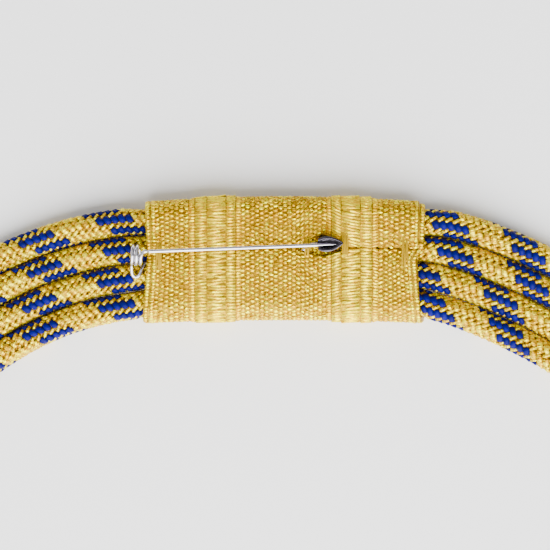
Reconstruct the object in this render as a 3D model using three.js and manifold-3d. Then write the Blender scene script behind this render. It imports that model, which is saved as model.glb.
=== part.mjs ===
// A four-loop aiguillette: four loops of braided cord, gathered by a wrapped lace band with a safety pin on its back.
// Millimetres, +Z up. It lies on its front with the pinned back up. The origin is under the middle of the loops.
import * as THREE from "three";
import { mergeVertices } from "three/addons/utils/BufferGeometryUtils.js";
import Module from "manifold-3d";

const wasm = await Module();
wasm.setup();
const radians = THREE.MathUtils.degToRad;

// Cord
const CORD_COUNT = 4;
const CORD_DIAMETER = 5.05;
const CORD_DIAMETER_IN_BAND = 4.8; // the lace squeezes the soft cord
const CORD_GAP = 0.3; // between neighbouring cords
const CORD_SIDES = 12;
const CORD_END_GAP = 0.4; // each loop's cut ends meet inside the band
const LOOSENESS = 1.6; // what each gap has gained at the far side of the loops
const SWELL_LENGTH = 4; // past the band, where the cord regains its girth
const SETTLE_LENGTH = 26; // past the band, where the cord comes down to the surface

// Loops, as arcs that follow one another from the middle of the band to the far side. The coil is at the left.
const BAND_BEND_RADIUS = 420;
const LEFT_SHOULDER_RADIUS = 62;
const RIGHT_TURN_RADIUS = 18;
const RIGHT_SHOULDER_RADIUS = 60;
const SHOULDERS = {
  left: [{ radius: LEFT_SHOULDER_RADIUS, end: radians(32) }],
  right: [
    { radius: RIGHT_TURN_RADIUS, end: radians(14) },
    { radius: RIGHT_SHOULDER_RADIUS, end: radians(21) },
  ],
};
const LEFT_SIDE_RADIUS = 118;
const SIDE_END = radians(115);

// Lace band
const LACE_WIDTH = 51.2;
const LACE_WALL = 0.85;
const LACE_CLEARANCE = 0.3; // between lace and cord
const BAND_SWELL = 0.25; // the band is this much deeper in its middle than at its ends, on each side
const RIB_RISE = 0.3;
const EDGE_ROUNDING = 3; // of the band's inside
const ROUNDING_STEPS = 4;
const SEAM_START = 1.2; // the seam's place across the back, at the coil's end
const SEAM_END = 2.4; // and at the other end
const UNDER_LAYER_STEP = 0.4; // the top layer of lace ends this much above the layer under it
const EYE_LENGTH = 10.4; // the seam parts round the pin's head and the end of its bar
const EYE_WIDTH = 3.7;
const EYE_ACROSS = 2.3;
const EYE_BEFORE_HEAD = 1.6; // its middle is this much nearer the coil than the head's middle
const EYE_TURN = radians(9);

// Pin
const WIRE_DIAMETER = 0.75;
const WIRE_SIDES = 6;
const COIL_OUTER_DIAMETER = 4.3;
const COIL_STEPS = 28; // twelve to a turn
const COIL_PITCH = 0.8;
const COIL_ACROSS = 0.55; // the coil's middle, across the band
const PIN_CLEARANCE = 0.3;
const ARM_ACROSS = 1.2; // where the arm leaves the coil, across the band
const ARM_LENGTH = 34.6;
const ARM_POINT_ACROSS = 2.5;
const ARM_BOW = 0.25;
const ARM_TAPER = 4;
const ARM_TIP_RADIUS = 0.1;
const BAR_SETTLED = 6; // past the coil, where the bar lies straight under the seam
const BAR_BEND_START = 9; // before the head, where it starts to cross to the head's floor
const BAR_BEND_MIDDLE = 5;
const CAP_LENGTH = 4.6;
const CAP_WIDTH = 2.5;
const CAP_MOUTH = 2;
const CAP_SHEET = 0.32;
const CAP_HEIGHT = 3;
const CAP_ACROSS = 2.6;
const CAP_TURN = radians(3);
const CAP_PAST_POINT = 1.1;

// Colours and finishes
const GOLD_CORD = new THREE.MeshStandardMaterial({ color: 0xd9ac45, roughness: 0.45, metalness: 0.6 });
const GOLD_LACE = new THREE.MeshStandardMaterial({ color: 0xe8cb72, roughness: 0.5, metalness: 0.4 });
const NICKEL = new THREE.MeshStandardMaterial({ color: 0xd6d2d8, roughness: 0.2, metalness: 1 });

// Sizes that follow from those above
const flatShare = Math.cos(Math.PI / CORD_SIDES); // a cord's flats lie this much nearer its middle than its edges
const cordRadius = CORD_DIAMETER / 2;
const cordRadiusInBand = CORD_DIAMETER_IN_BAND / 2;
const pitchInBand = CORD_DIAMETER_IN_BAND * flatShare + CORD_GAP;
const pitchFree = CORD_DIAMETER * flatShare + CORD_GAP;
const outermost = (CORD_COUNT - 1) / 2;
const laceHalf = LACE_WIDTH / 2;
const boreHalfHeight = cordRadiusInBand * flatShare + LACE_CLEARANCE;
const boreHalfDepth = outermost * pitchInBand + boreHalfHeight;
const bandMiddleHeight = RIB_RISE + LACE_WALL + boreHalfHeight;
const laceTop = bandMiddleHeight + boreHalfHeight + LACE_WALL;
const wireRadius = WIRE_DIAMETER / 2;
const wireFromCord = cordRadiusInBand + wireRadius + PIN_CLEARANCE; // from middle to middle

// The arcs of one half of the loops, each from the heading where the last one ends. The far arc closes the loop.
function arcsWith(shoulders, sideRadius) {
  const bandEnd = Math.asin(laceHalf / BAND_BEND_RADIUS);
  const arcs = [];
  let start = 0;
  const rows = [{ radius: BAND_BEND_RADIUS, end: bandEnd }, ...shoulders, { radius: sideRadius, end: SIDE_END }];
  for (const { radius, end } of rows) {
    arcs.push({ radius, start, end });
    start = end;
  }
  const reach = arcs.reduce((sum, a) => sum + a.radius * (Math.sin(a.end) - Math.sin(a.start)), 0);
  arcs.push({ radius: reach / Math.sin(SIDE_END), start, end: Math.PI });
  return arcs;
}

const lengthOf = (arcs) => arcs.reduce((sum, a) => sum + a.radius * (a.end - a.start), 0);
const depthOf = (arcs) => arcs.reduce((sum, a) => sum + a.radius * (Math.cos(a.start) - Math.cos(a.end)), 0);

// The right half's side radius is the one with which both halves meet.
const halves = (() => {
  const left = arcsWith(SHOULDERS.left, LEFT_SIDE_RADIUS);
  const [flattest, sharpest] = [0, LEFT_SIDE_RADIUS].map((radius) => depthOf(arcsWith(SHOULDERS.right, radius)));
  const sideRadius = (LEFT_SIDE_RADIUS * (depthOf(left) - flattest)) / (sharpest - flattest);
  return { left, right: arcsWith(SHOULDERS.right, sideRadius) };
})();

// How far the middle of the band lies from the origin, so that the origin is in the middle of the whole.
const bandY = (() => {
  const pastBand = boreHalfDepth + LACE_WALL + BAND_SWELL;
  const pastFarSide = outermost * (pitchFree + LOOSENESS) + cordRadius;
  return (depthOf(halves.left) + pastFarSide - pastBand) / 2;
})();

const mix = THREE.MathUtils.lerp;
const smooth = THREE.MathUtils.smoothstep;

// The bundle's middle line at a distance from the middle of the band, along one half: its place and heading.
function bundleAt(along, half) {
  const arcs = halves[half];
  const hand = half === "left" ? -1 : 1;
  let [x, y, rest] = [0, bandY, along];
  for (const arc of arcs) {
    const length = arc.radius * (arc.end - arc.start);
    const here = arc === arcs.at(-1) || rest <= length;
    const heading = here ? arc.start + rest / arc.radius : arc.end;
    x += hand * arc.radius * (Math.sin(heading) - Math.sin(arc.start));
    y -= arc.radius * (Math.cos(arc.start) - Math.cos(heading));
    if (here) return { x, y, heading: hand * heading };
    rest -= length;
  }
}

// One cord's middle and radius there. side is +1.5 for the outermost loop and -1.5 for the innermost.
function cordAt(along, half, side) {
  const { x, y, heading } = bundleAt(along, half);
  const swollen = smooth(along, laceHalf, laceHalf + SWELL_LENGTH);
  const settled = smooth(along, laceHalf, laceHalf + SETTLE_LENGTH);
  const loose = smooth(along, laceHalf + SETTLE_LENGTH, lengthOf(halves[half]));
  const offset = side * (mix(pitchInBand, pitchFree, swollen) + LOOSENESS * loose);
  return {
    x: x + Math.sin(heading) * offset,
    y: y + Math.cos(heading) * offset,
    z: mix(bandMiddleHeight, cordRadius * flatShare, settled),
    heading,
    radius: mix(cordRadiusInBand, cordRadius, swollen),
  };
}

// Distances along one half at which the cords have a section, closer together where they swell.
function cordStations(half) {
  const ends = [CORD_END_GAP / 2, laceHalf, laceHalf + SWELL_LENGTH, laceHalf + SETTLE_LENGTH, lengthOf(halves[half])];
  const steps = [4, 3, 5, 26];
  return [
    ends[0],
    ...steps.flatMap((count, k) => Array.from({ length: count }, (_, i) => mix(ends[k], ends[k + 1], (i + 1) / count))),
  ];
}

function indexed(points, index) {
  const geometry = new THREE.BufferGeometry().setFromPoints(points);
  geometry.setIndex(index);
  geometry.computeVertexNormals();
  return geometry;
}

// The faces between rings of equally many points, from one point number on.
function skinFaces(first, count, sides, inward = false) {
  const index = [];
  for (let r = 0; r + 1 < count; r++)
    for (let i = 0; i < sides; i++) {
      const a = first + r * sides + i;
      const b = first + r * sides + ((i + 1) % sides);
      if (inward) index.push(a, b + sides, b, a, a + sides, b + sides);
      else index.push(a, b, b + sides, a, b + sides, a + sides);
    }
  return index;
}

// A closed surface through rings, with flat ends.
function loft(rings) {
  const sides = rings[0].length;
  const last = (rings.length - 1) * sides;
  const index = skinFaces(0, rings.length, sides);
  for (let i = 1; i + 1 < sides; i++) index.push(0, i + 1, i, last, last + i, last + i + 1);
  return indexed(rings.flat(), index);
}

// A sleeve: an outer and an inner skin, each through rings, joined at both ends.
function sleeve(outer, inner) {
  const sides = outer[0].length;
  const innerFirst = outer.length * sides;
  const outerLast = innerFirst - sides;
  const innerLast = innerFirst + (inner.length - 1) * sides;
  const index = [...skinFaces(0, outer.length, sides), ...skinFaces(innerFirst, inner.length, sides, true)];
  for (let i = 0; i < sides; i++) {
    const j = (i + 1) % sides;
    index.push(i, innerFirst + j, j, i, innerFirst + i, innerFirst + j);
    index.push(outerLast + i, outerLast + j, innerLast + j, outerLast + i, innerLast + j, innerLast + i);
  }
  return indexed([...outer.flat(), ...inner.flat()], index);
}

function toSolid(geometry) {
  const bare = geometry.index ? geometry.toNonIndexed() : geometry.clone();
  bare.deleteAttribute("normal");
  bare.deleteAttribute("uv");
  const merged = mergeVertices(bare, 1e-3);
  return new wasm.Manifold(
    new wasm.Mesh({
      numProp: 3,
      vertProperties: merged.attributes.position.array,
      triVerts: new Uint32Array(merged.index.array),
    }),
  );
}

function toGeometry(solid) {
  const { numProp, vertProperties, triVerts } = solid.getMesh();
  const points = [];
  for (let i = 0; i < vertProperties.length; i += numProp)
    points.push(new THREE.Vector3().fromArray(vertProperties, i));
  return indexed(points, Array.from(triVerts));
}

// One loop of cord, from its cut end in the band, round, and back to the other cut end.
function cordLoop(side) {
  const ring = (along, half) => {
    const { x, y, z, heading, radius } = cordAt(along, half, side);
    return Array.from({ length: CORD_SIDES }, (_, i) => {
      const turn = ((i + 0.5) / CORD_SIDES) * 2 * Math.PI;
      const out = radius * Math.cos(turn);
      return new THREE.Vector3(x + Math.sin(heading) * out, y + Math.cos(heading) * out, z + radius * Math.sin(turn));
    });
  };
  const there = cordStations("right").map((along) => ring(along, "right"));
  const back = cordStations("left").slice(0, -1).map((along) => ring(along, "left"));
  return loft([...there, ...back.reverse()]);
}

// The lace's relief along its width, from its middle to its edge: at is a share of half the width and rise a share of
// the rib's rise. On the side away from the coil, the top layer ends before the under layer does.
const LACE_RELIEF = [
  { at: 0.3, rise: 0, underLayer: false },
  { at: 0.335, rise: -0.5, underLayer: false },
  { at: 0.365, rise: 1, underLayer: false },
  { at: 0.64, rise: 1, underLayer: false },
  { at: 0.675, rise: -0.5, underLayer: false },
  { at: 0.71, rise: 0, underLayer: false },
  { at: 0.935, rise: 0, underLayer: false },
  { at: 0.955, rise: 0.5, underLayer: false },
  { at: 0.962, rise: 0, underLayer: true },
  { at: 1, rise: -0.3, underLayer: true },
];
const PLAIN = { rise: 0, underLayer: false };
const BORE_RINGS = [-1, -0.9, -0.5, 0.5, 0.9, 1];

// The wavy ends of the lace on the pinned side: across is a share of the band's half depth, and coilEnd and farEnd are
// what each end gains there, as a share of half the lace's width.
const LACE_ENDS = [
  { across: 1, coilEnd: 0.004, farEnd: 0 },
  { across: 0.25, coilEnd: -0.008, farEnd: -0.012 },
  { across: 0.05, coilEnd: -0.012, farEnd: -0.07 },
  { across: -0.5, coilEnd: 0.004, farEnd: -0.05 },
  { across: -1, coilEnd: 0.022, farEnd: -0.03 },
];

function endGain(across, column) {
  const next = LACE_ENDS.findIndex((row) => row.across <= across);
  if (next <= 0) return LACE_ENDS.at(next)[column] * laceHalf;
  const [upper, lower] = [LACE_ENDS[next - 1], LACE_ENDS[next]];
  const share = (across - lower.across) / (upper.across - lower.across);
  return mix(lower[column], upper[column], share) * laceHalf;
}

// The dip along the seam: across is from the seam, and depth a share of the lace's wall.
const SEAM_DIP = [
  { across: -3.2, depth: 0 },
  { across: -0.9, depth: 0.25 },
  { across: 0, depth: 0.6 },
  { across: 0.9, depth: 0.25 },
  { across: 3.2, depth: 0 },
];

// A round-cornered section across the band, counter-clockwise as seen from the far end. dip is 1 on the outer skin.
function bandSection(halfDepth, halfHeight, rounding, seam, dip) {
  const [flat, tall] = [halfDepth - rounding, halfHeight - rounding];
  const points = [];
  const corner = (across, up, from) => {
    for (let i = 0; i <= ROUNDING_STEPS; i++) {
      const turn = from + (i / ROUNDING_STEPS) * (Math.PI / 2);
      const normal = [Math.cos(turn), Math.sin(turn)];
      points.push({ across: across * flat + rounding * normal[0], up: up * tall + rounding * normal[1], normal });
    }
  };
  corner(1, 1, 0);
  for (const row of SEAM_DIP.toReversed()) {
    const depth = dip * row.depth * LACE_WALL;
    points.push({ across: seam + row.across, up: halfHeight - depth, normal: [0, 1] });
  }
  points.push({ across: -0.6 * flat, up: halfHeight, normal: [0, 1] });
  corner(-1, 1, Math.PI / 2);
  corner(-1, -1, Math.PI);
  for (const share of [-0.5, 0, 0.5]) points.push({ across: share * flat, up: -halfHeight, normal: [0, -1] });
  corner(1, -1, 1.5 * Math.PI);
  return points;
}

const seamAt = (x) => mix(SEAM_START, SEAM_END, (x + laceHalf) / LACE_WIDTH);
const middleOfBandAt = (x) => bundleAt(Math.abs(x), x < 0 ? "left" : "right").y;

// A ring of the band's skin, at a share of half the lace's width. growth is the skin's distance from the bore.
function bandRing(share, growth, relief) {
  const x = share * laceHalf;
  const seam = seamAt(x);
  const halfDepth = boreHalfDepth + BAND_SWELL * (1 - share * share) + growth;
  const rounding = Math.min(EDGE_ROUNDING - LACE_WALL, boreHalfHeight) + growth;
  const section = bandSection(halfDepth, boreHalfHeight + growth, rounding, seam, growth > 0 ? 1 : 0);
  const nearEnd = smooth(Math.abs(share), 0.7, 1);
  return section.map(({ across, up, normal }) => {
    const pinnedSide = smooth(up, -boreHalfHeight, boreHalfHeight);
    const gain = endGain(across / halfDepth, share < 0 ? "coilEnd" : "farEnd") * nearEnd * pinnedSide;
    const underLayer = relief.underLayer && share > 0 && across > seam + 1 ? UNDER_LAYER_STEP : 0;
    const rise = relief.rise * RIB_RISE - underLayer;
    return new THREE.Vector3(
      x + Math.sign(share) * gain,
      middleOfBandAt(x) + across + normal[0] * rise,
      bandMiddleHeight + up + normal[1] * rise,
    );
  });
}

// The wrapped lace, with an eye in its seam where the pin's head comes through.
function laceBand() {
  const rows = [...LACE_RELIEF.toReversed().map((row) => ({ ...row, at: -row.at })), ...LACE_RELIEF];
  const outer = rows.map((row) => bandRing(row.at, LACE_WALL, row));
  const inner = BORE_RINGS.map((share) => bandRing(share, 0, PLAIN));
  const eyeMiddle = new THREE.Vector3(capMiddle.x - EYE_BEFORE_HEAD, bandY + EYE_ACROSS, bandMiddleHeight);
  const eye = lensBlock(EYE_LENGTH, EYE_WIDTH, 0, boreHalfHeight + CAP_HEIGHT, eyeMiddle, EYE_TURN);
  return toGeometry(
    toSolid(sleeve(outer, inner)).subtract(eye).subtract(toSolid(wireGeometry(PIN_CLEARANCE))),
  );
}

// The spring's coil stands on edge past the end of the band, over the dip between the two middle cords.
const coilMean = (COIL_OUTER_DIAMETER - WIRE_DIAMETER) / 2;
const coilX = -laceHalf - PIN_CLEARANCE - wireRadius; // the turn nearest the band
const coilY = bandY + COIL_ACROSS;
const coilZ = (() => {
  const { y, z, radius } = cordAt(-coilX + COIL_PITCH, "left", 0.5);
  const apart = COIL_OUTER_DIAMETER / 2 + radius + PIN_CLEARANCE;
  return z + Math.sqrt(apart ** 2 - (y - coilY) ** 2);
})();
const armTurn = Math.acos((ARM_ACROSS - COIL_ACROSS) / coilMean);
const armRoot = new THREE.Vector3(coilX + 3 * wireRadius, bandY + ARM_ACROSS, coilZ + coilMean * Math.sin(armTurn));

// The pin's head stands on the cord under it. The bar's end lies at its bottom and the arm's point above that.
const capBottom = bandMiddleHeight + cordRadiusInBand * flatShare + PIN_CLEARANCE;
const barEndZ = capBottom + CAP_SHEET + PIN_CLEARANCE + wireRadius;
const armPoint = new THREE.Vector3(
  armRoot.x + ARM_LENGTH,
  bandY + ARM_POINT_ACROSS,
  barEndZ + WIRE_DIAMETER + 1.2 * PIN_CLEARANCE,
);
const capMiddle = new THREE.Vector3(armPoint.x + CAP_PAST_POINT - CAP_LENGTH / 2, bandY + CAP_ACROSS, capBottom);
const capMouthX = capMiddle.x - CAP_LENGTH / 2;

// The wire of spring and bar: from the root of the arm round the coil.
function coilPoints() {
  const points = [armRoot.clone(), armRoot.clone().setX(coilX + 1.5 * wireRadius)];
  for (let i = 1; i <= COIL_STEPS; i++) {
    const turn = armTurn + (i / 12) * 2 * Math.PI;
    const x = coilX - (COIL_PITCH * i) / 12;
    points.push(new THREE.Vector3(x, coilY + coilMean * Math.cos(turn), coilZ + coilMean * Math.sin(turn)));
  }
  return points;
}

// Height of a wire that lies on the two middle cords, at a place across the band.
function overCords(across) {
  const sideways = pitchInBand / 2 - Math.abs(across);
  return bandMiddleHeight + Math.sqrt(Math.max(0, wireFromCord ** 2 - sideways ** 2));
}

// The bend from the coil into the band, the bar in the dip between the cords, and its rise into the head. x is from
// the coil's nearest turn in the rows with atCoil, and from the head's mouth in the others.
const BAR_PATH = [
  { atCoil: true, x: -1.7, across: -2.2, lift: 0.5 },
  { atCoil: true, x: -1, across: -2.6, lift: 0.15 },
  { atCoil: true, x: -0.35, across: -2.1, lift: 0.05 },
  { atCoil: true, x: 0, across: -1.2, lift: 0 },
  { atCoil: true, x: 0.6, across: -0.4, lift: 0 },
  { atCoil: true, x: 1.8, across: 0, lift: 0.03 },
  { atCoil: true, x: BAR_SETTLED, across: 0, lift: 0.03 },
  { atCoil: false, x: -BAR_BEND_START, across: 0, lift: 0.03 },
  { atCoil: false, x: -BAR_BEND_MIDDLE, across: 0.5, lift: 0.05 },
  { atCoil: false, x: -2.6, across: 1.5, lift: 0.05 },
];

function barPoints() {
  const rows = BAR_PATH.map(({ atCoil, x, across, lift }) => {
    const place = (atCoil ? coilX : capMouthX) + x;
    return new THREE.Vector3(place, middleOfBandAt(place) + across, overCords(across) + lift);
  });
  const intoHead = [-0.3, 0.25, 0.55].map(
    (share) => new THREE.Vector3(capMouthX + share * CAP_LENGTH, bandY + CAP_ACROSS - 0.1, barEndZ),
  );
  return [...rows, ...intoHead];
}

// A round wire along points, thinned by a function of the share of its length.
function wireAlong(points, steps, radiusAt) {
  const path = new THREE.CatmullRomCurve3(points, false, "centripetal");
  const { normals, binormals } = path.computeFrenetFrames(steps, false);
  const rings = Array.from({ length: steps + 1 }, (_, i) => {
    const middle = path.getPointAt(i / steps);
    return Array.from({ length: WIRE_SIDES }, (_, k) => {
      const turn = (k / WIRE_SIDES) * 2 * Math.PI;
      return middle
        .clone()
        .addScaledVector(normals[i], radiusAt(i / steps) * Math.cos(turn))
        .addScaledVector(binormals[i], radiusAt(i / steps) * Math.sin(turn));
    });
  });
  return loft(rings);
}

const wireGeometry = (clearance) => wireAlong([...coilPoints(), ...barPoints()], 150, () => wireRadius + clearance);

// The arm, from beside the coil to its point.
function armGeometry() {
  const start = armRoot.clone().setX(armRoot.x + PIN_CLEARANCE);
  const middle = start.clone().lerp(armPoint, 0.5);
  middle.z += ARM_BOW;
  const taperShare = 1 - ARM_TAPER / ARM_LENGTH;
  const radiusAt = (share) => mix(wireRadius, ARM_TIP_RADIUS, Math.max(0, (share - taperShare) / (1 - taperShare)));
  return wireAlong([start, middle, armPoint], 24, radiusAt);
}

// A block with the outline of a lens, blunt at the mouth and pointed at the far end, over a place on its bottom.
function lensBlock(length, width, mouth, height, place, turn) {
  const outline = new THREE.Shape();
  const half = length / 2;
  outline.moveTo(-half, -mouth / 2);
  outline.quadraticCurveTo(-half * 0.1, -width, half, -0.06 * width);
  outline.lineTo(half, 0.06 * width);
  outline.quadraticCurveTo(-half * 0.1, width, -half, mouth / 2);
  outline.closePath();
  const block = new THREE.ExtrudeGeometry(outline, { depth: height, bevelEnabled: false, curveSegments: 8 });
  block.rotateZ(turn);
  block.translate(place.x, place.y, place.z);
  return toSolid(block);
}

// The pin's head: one sheet folded into a trough, open above and at its mouth.
function capGeometry() {
  const body = lensBlock(CAP_LENGTH, CAP_WIDTH - CAP_SHEET, CAP_MOUTH, CAP_HEIGHT, capMiddle, CAP_TURN);
  const floor = capMiddle.clone().setZ(capBottom + CAP_SHEET);
  const [inside, mouthInside] = [CAP_WIDTH - 3.4 * CAP_SHEET, CAP_MOUTH - 2 * CAP_SHEET];
  const hollow = lensBlock(CAP_LENGTH - 2 * CAP_SHEET, inside, mouthInside, CAP_HEIGHT, floor, CAP_TURN);
  const mouth = new THREE.BoxGeometry(3 * CAP_SHEET, mouthInside, CAP_HEIGHT);
  mouth.translate(-CAP_LENGTH / 2, 0, CAP_HEIGHT / 2);
  mouth.rotateZ(CAP_TURN);
  mouth.translate(floor.x, floor.y, floor.z);
  return toGeometry(body.subtract(hollow).subtract(toSolid(mouth)));
}

const aiguillette = new THREE.Group();
aiguillette.name = "aiguillette";

function add(name, geometry, material) {
  const mesh = new THREE.Mesh(geometry, material.clone());
  mesh.name = name;
  aiguillette.add(mesh);
}

for (let i = 0; i < CORD_COUNT; i++) add(`cord_loop_${i + 1}`, cordLoop(i - outermost), GOLD_CORD);
add("lace_band", laceBand(), GOLD_LACE);
add("pin_spring", wireGeometry(0), NICKEL);
add("pin_cap", capGeometry(), NICKEL);
add("pin_arm", armGeometry(), NICKEL);

const middle = new THREE.Box3().setFromObject(aiguillette).getCenter(new THREE.Vector3());
for (const { geometry } of aiguillette.children) geometry.translate(-middle.x, -middle.y, 0);

export default aiguillette;
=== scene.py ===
"""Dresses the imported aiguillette: braided cords, woven gold lace, thread tacks and a nickel-plated safety pin.

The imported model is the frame. Sizes are in millimetres in the classes below and become metres when a mesh is made.
"""

import logging
import math
from dataclasses import dataclass, replace
from enum import Enum
from typing import Any, Callable, Sequence

import bmesh
import bpy
import numpy as np
from bpy.types import ID, Material, Mesh, Node, NodeSocket, NodeTree, Object
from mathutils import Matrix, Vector


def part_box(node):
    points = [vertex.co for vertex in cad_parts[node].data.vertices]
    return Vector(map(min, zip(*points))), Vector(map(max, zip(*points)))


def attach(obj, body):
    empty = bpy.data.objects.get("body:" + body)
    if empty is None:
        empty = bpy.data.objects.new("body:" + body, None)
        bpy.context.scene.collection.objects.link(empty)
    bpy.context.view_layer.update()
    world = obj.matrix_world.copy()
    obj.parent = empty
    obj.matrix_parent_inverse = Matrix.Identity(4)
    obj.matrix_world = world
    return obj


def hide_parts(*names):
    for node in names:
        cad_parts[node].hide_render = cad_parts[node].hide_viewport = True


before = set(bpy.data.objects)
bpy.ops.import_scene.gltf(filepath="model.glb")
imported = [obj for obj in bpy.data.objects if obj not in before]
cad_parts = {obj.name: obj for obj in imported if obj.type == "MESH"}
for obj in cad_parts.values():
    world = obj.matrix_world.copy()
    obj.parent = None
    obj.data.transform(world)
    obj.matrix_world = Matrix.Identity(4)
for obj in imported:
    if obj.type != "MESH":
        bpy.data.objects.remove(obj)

log = logging.getLogger("aiguillette")

MM = 0.001
BODY = "band_and_loops"
ARM_BODY = "arm"
LACE_WALL = 0.85
LACE_CLEARANCE = 0.3  # between lace and cord
RIB_RISE = 0.3
UP = np.array([0.0, 0.0, 1.0])
OUTERMOST = 1.5  # the outermost cord's place in the bundle, in cords from its middle


def srgb(code: str) -> tuple[float, float, float, float]:
    """Turns an sRGB hex colour into linear red, green, blue and alpha.

    Args:
        code: The colour as "#rrggbb".

    Returns:
        The linear colour that a shader socket takes.
    """
    parts = [int(code[i : i + 2], 16) / 255 for i in (1, 3, 5)]
    linear = [c / 12.92 if c <= 0.04045 else ((c + 0.055) / 1.055) ** 2.4 for c in parts]
    return (*linear, 1.0)


def fill_inputs(tree: NodeTree, node: Node, inputs: dict) -> None:
    """Gives a node its inputs.

    Args:
        tree: The node's tree.
        node: The node.
        inputs: A value or an output socket for each input, by name or number.
    """
    for key, value in inputs.items():
        if isinstance(value, NodeSocket):
            tree.links.new(value, node.inputs[key])
        else:
            node.inputs[key].default_value = value


def add_node(tree: NodeTree, kind: str, inputs: dict | None = None, **settings: Any) -> Node:
    """Adds a node to a shader or geometry tree.

    Args:
        tree: The tree that gets the node.
        kind: The node's type name.
        inputs: A value or an output socket for each input, by name or number.
        **settings: The node's own options.

    Returns:
        The new node.
    """
    made = tree.nodes.new(kind)
    for name, value in settings.items():
        setattr(made, name, value)
    fill_inputs(tree, made, inputs or {})
    return made


def maths(tree: NodeTree, operation: str, *values: Any, vector: bool = False) -> NodeSocket:
    """Adds a sum.

    Args:
        tree: The tree that gets the node.
        operation: What is done with the values.
        *values: A value or an output socket for each input in turn.
        vector: Whether the values are vectors.

    Returns:
        The result.
    """
    kind = "ShaderNodeVectorMath" if vector else "ShaderNodeMath"
    return add_node(tree, kind, dict(enumerate(values)), operation=operation).outputs[0]


def bumped(tree: NodeTree, height: NodeSocket, strength: float, depth: float) -> Any:
    """Adds a bump.

    Args:
        tree: The material's tree.
        height: What stands out.
        strength: How strong the bump is.
        depth: How far it stands out, in millimetres.

    Returns:
        The bumped normal.
    """
    return add_node(tree, "ShaderNodeBump", {"Strength": strength, "Distance": depth * MM, "Height": height}).outputs[0]


def yarn_values(tree: NodeTree) -> tuple[NodeSocket, NodeSocket]:
    """Reads what every stitch carries.

    Args:
        tree: The material's tree.

    Returns:
        The yarn's own coordinates, and the stitch's tone.
    """
    ply = add_node(tree, "ShaderNodeAttribute", attribute_name="ply").outputs["Vector"]
    return ply, add_node(tree, "ShaderNodeAttribute", attribute_name="tone").outputs["Fac"]


def ramp(
    tree: NodeTree, factor: NodeSocket, stops: list[tuple[float, str]]
) -> NodeSocket:
    """Adds a colour ramp.

    Args:
        tree: The material's tree.
        factor: What drives the ramp.
        stops: Places from 0 to 1, each with its sRGB colour.

    Returns:
        The ramp's colour output.
    """
    made = add_node(tree, "ShaderNodeValToRGB", {0: factor})
    band = made.color_ramp
    while len(band.elements) < len(stops):
        band.elements.new(0.5)
    for element, (place, code) in zip(band.elements, stops):
        element.position = place
        element.color = srgb(code)
    return made.outputs["Color"]


def empty_material(name: str, preview: str) -> tuple[Material, NodeTree, Node]:
    """Makes a material with only a Principled shader and its output.

    Args:
        name: The material's name.
        preview: Its colour where nodes aren't shown, as an sRGB code.

    Returns:
        The material, its tree and its shader node.
    """
    material = bpy.data.materials.new(name)
    material.use_nodes = True
    material.diffuse_color = srgb(preview)
    tree = material.node_tree
    return material, tree, tree.nodes["Principled BSDF"]


@dataclass(frozen=True)
class MetallicYarn:
    """Yarn of silk wound with thin flat gilt strip. It glitters: each turn of the strip faces its own way, and each
    turn also gets its own brightness in the colour, a painted glint.
    """

    name: str
    bright: str
    middle: str
    shade: str
    metallic: float = 0.9
    roughness: float = 0.36
    specular: float = 0.25
    strip_pitch: float = 0.22  # mm, the turns of the strip as coarse as they need to be to show
    facet_share: float = 0.32  # the width of each turn's painted lit patch, as a share of its length
    winding: tuple = (0.0, 0.3, 0.45)  # radians, how the strip leans on the yarn
    turn_looseness: float = 0.75
    stitch_offset: float = 97.0  # sets the turns of one stitch apart from the next one's
    tone_share: float = 0.25  # the stitch's own tone in the colour, beside the painted glitter of its turns
    bump: float = 0.7
    bump_depth: float = 0.14  # mm

    def build(self) -> Material:
        """Makes the material, which reads the yarn's own coordinates in the attribute "ply".

        Returns:
            The material.
        """
        material, tree, shader = empty_material(self.name, self.middle)
        ply, tone = yarn_values(tree)
        turns = (self.facet_share / self.strip_pitch, 1 / self.strip_pitch, self.facet_share / self.strip_pitch)
        wound = add_node(
            tree, "ShaderNodeMapping", {"Vector": ply, "Rotation": self.winding, "Scale": turns}
        ).outputs[0]
        shifted = maths(tree, "ADD", wound, maths(tree, "MULTIPLY", tone, self.stitch_offset), vector=True)
        facets = add_node(
            tree, "ShaderNodeTexVoronoi", {"Vector": shifted, "Scale": 1.0, "Randomness": self.turn_looseness}
        ).outputs
        turn_height_and_painted_glint = add_node(tree, "ShaderNodeSeparateColor", {0: facets["Color"]}).outputs[0]
        domes = maths(tree, "MULTIPLY_ADD", facets["Distance"], -1.0, turn_height_and_painted_glint)
        # painted glints: each turn's cell sets how bright it is in the colour, as if it caught the light
        painted_glint = maths(tree, "MULTIPLY", turn_height_and_painted_glint, 1 - self.tone_share)
        tone_and_painted_glint = maths(tree, "MULTIPLY_ADD", tone, self.tone_share, painted_glint)
        colour = ramp(tree, tone_and_painted_glint, [(0.12, self.shade), (0.42, self.middle), (0.72, self.bright)])
        look = {"Base Color": colour, "Metallic": self.metallic, "Roughness": self.roughness}
        normal = bumped(tree, domes, self.bump, self.bump_depth)
        fill_inputs(tree, shader, {**look, "Specular IOR Level": self.specular, "Normal": normal})
        return material


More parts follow.
